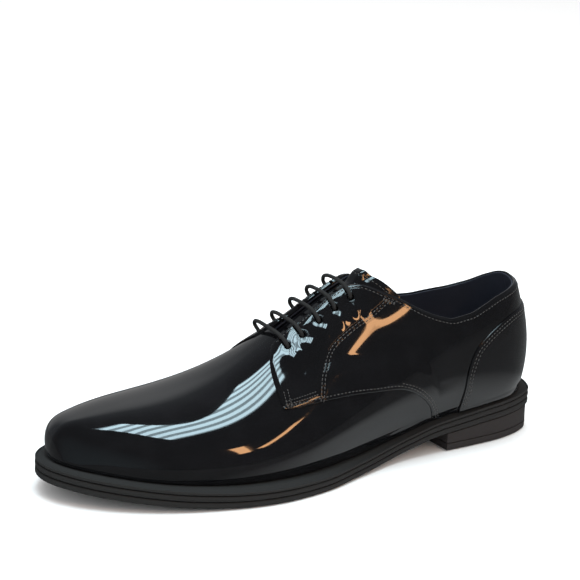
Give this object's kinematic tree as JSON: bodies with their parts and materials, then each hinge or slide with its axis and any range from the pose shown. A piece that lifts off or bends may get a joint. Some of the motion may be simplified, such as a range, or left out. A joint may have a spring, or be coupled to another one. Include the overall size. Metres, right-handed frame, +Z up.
{
  "type": "tap shoe",
  "caption": "Left low-cut lace-up tap shoe in black patent leather: plain toe, open-laced quarters, grooved rubber sole, low heel, metal plates let in below.",
  "frame": {"origin": "centre of the bounding box in plan, on the floor that the shoe stands on", "axes": "+X from toe to heel, -Y to the outer (lateral) side, +Z up"},
  "size_m": [0.304, 0.1084, 0.1032],
  "materials": {
    "patent_upper": "black patent, mirror gloss",
    "lining_textile": "dark twill",
    "lining_leather": "dark navy lining leather, satin",
    "stiffener_board": "pressed fibre board",
    "stay_tape": "woven tape",
    "blackened_metal": "blackened",
    "waxed_lace": "round black waxed cord",
    "aglet_plastic": "black",
    "sole_rubber": "matte black",
    "heel_rubber": "matte black, slightly warm",
    "cork": "ground cork",
    "spring_steel": "plain",
    "tap_steel": "bright, lightly brushed",
    "screw_steel": "plain"
  },
  "bodies": {
    "shoe": {"aglet_1": "aglet_plastic", "aglet_2": "aglet_plastic", "blind_eyelet_lateral_1": "blackened_metal", "blind_eyelet_lateral_2": "blackened_metal", "blind_eyelet_lateral_3": "blackened_metal", "blind_eyelet_lateral_4": "blackened_metal", "blind_eyelet_lateral_5": "blackened_metal", "blind_eyelet_medial_1": "blackened_metal", "blind_eyelet_medial_2": "blackened_metal", "blind_eyelet_medial_3": "blackened_metal", "blind_eyelet_medial_4": "blackened_metal", "blind_eyelet_medial_5": "blackened_metal", "bottom_filler": "cork", "counter_stiffener": "stiffener_board", "facing_stay_lateral": "stay_tape", "facing_stay_medial": "stay_tape", "heel_block": "heel_rubber", "heel_foxing": "patent_upper", "heel_tap": "tap_steel", "heel_tap_screw_1": "screw_steel", "heel_tap_screw_2": "screw_steel", "heel_tap_screw_3": "screw_steel", "insole_board": "stiffener_board", "midsole": "sole_rubber", "outsole": "sole_rubber", "quarter_lateral": "patent_upper", "quarter_lining_lateral": "lining_leather", "quarter_lining_medial": "lining_leather", "quarter_medial": "patent_upper", "shank": "spring_steel", "shoelace": "waxed_lace", "sock_liner": "lining_leather", "toe_puff": "stiffener_board", "toe_tap": "tap_steel", "toe_tap_screw_1": "screw_steel", "toe_tap_screw_2": "screw_steel", "toe_tap_screw_3": "screw_steel", "top_lift": "heel_rubber", "vamp": "patent_upper", "vamp_lining": "lining_textile", "welt": "sole_rubber"},
    "tongue": {"tongue": "patent_upper", "tongue_lining": "lining_textile"}
  },
  "joints": [
    {"name": "tongue_push", "type": "hinge", "parent": "shoe", "child": "tongue", "pos_m": [-0.02691, 0, 0.06453], "axis": [0, 1, 0], "range_deg": [0, 20], "stiffness_Nm_per_rad": 0.08}
  ]
}
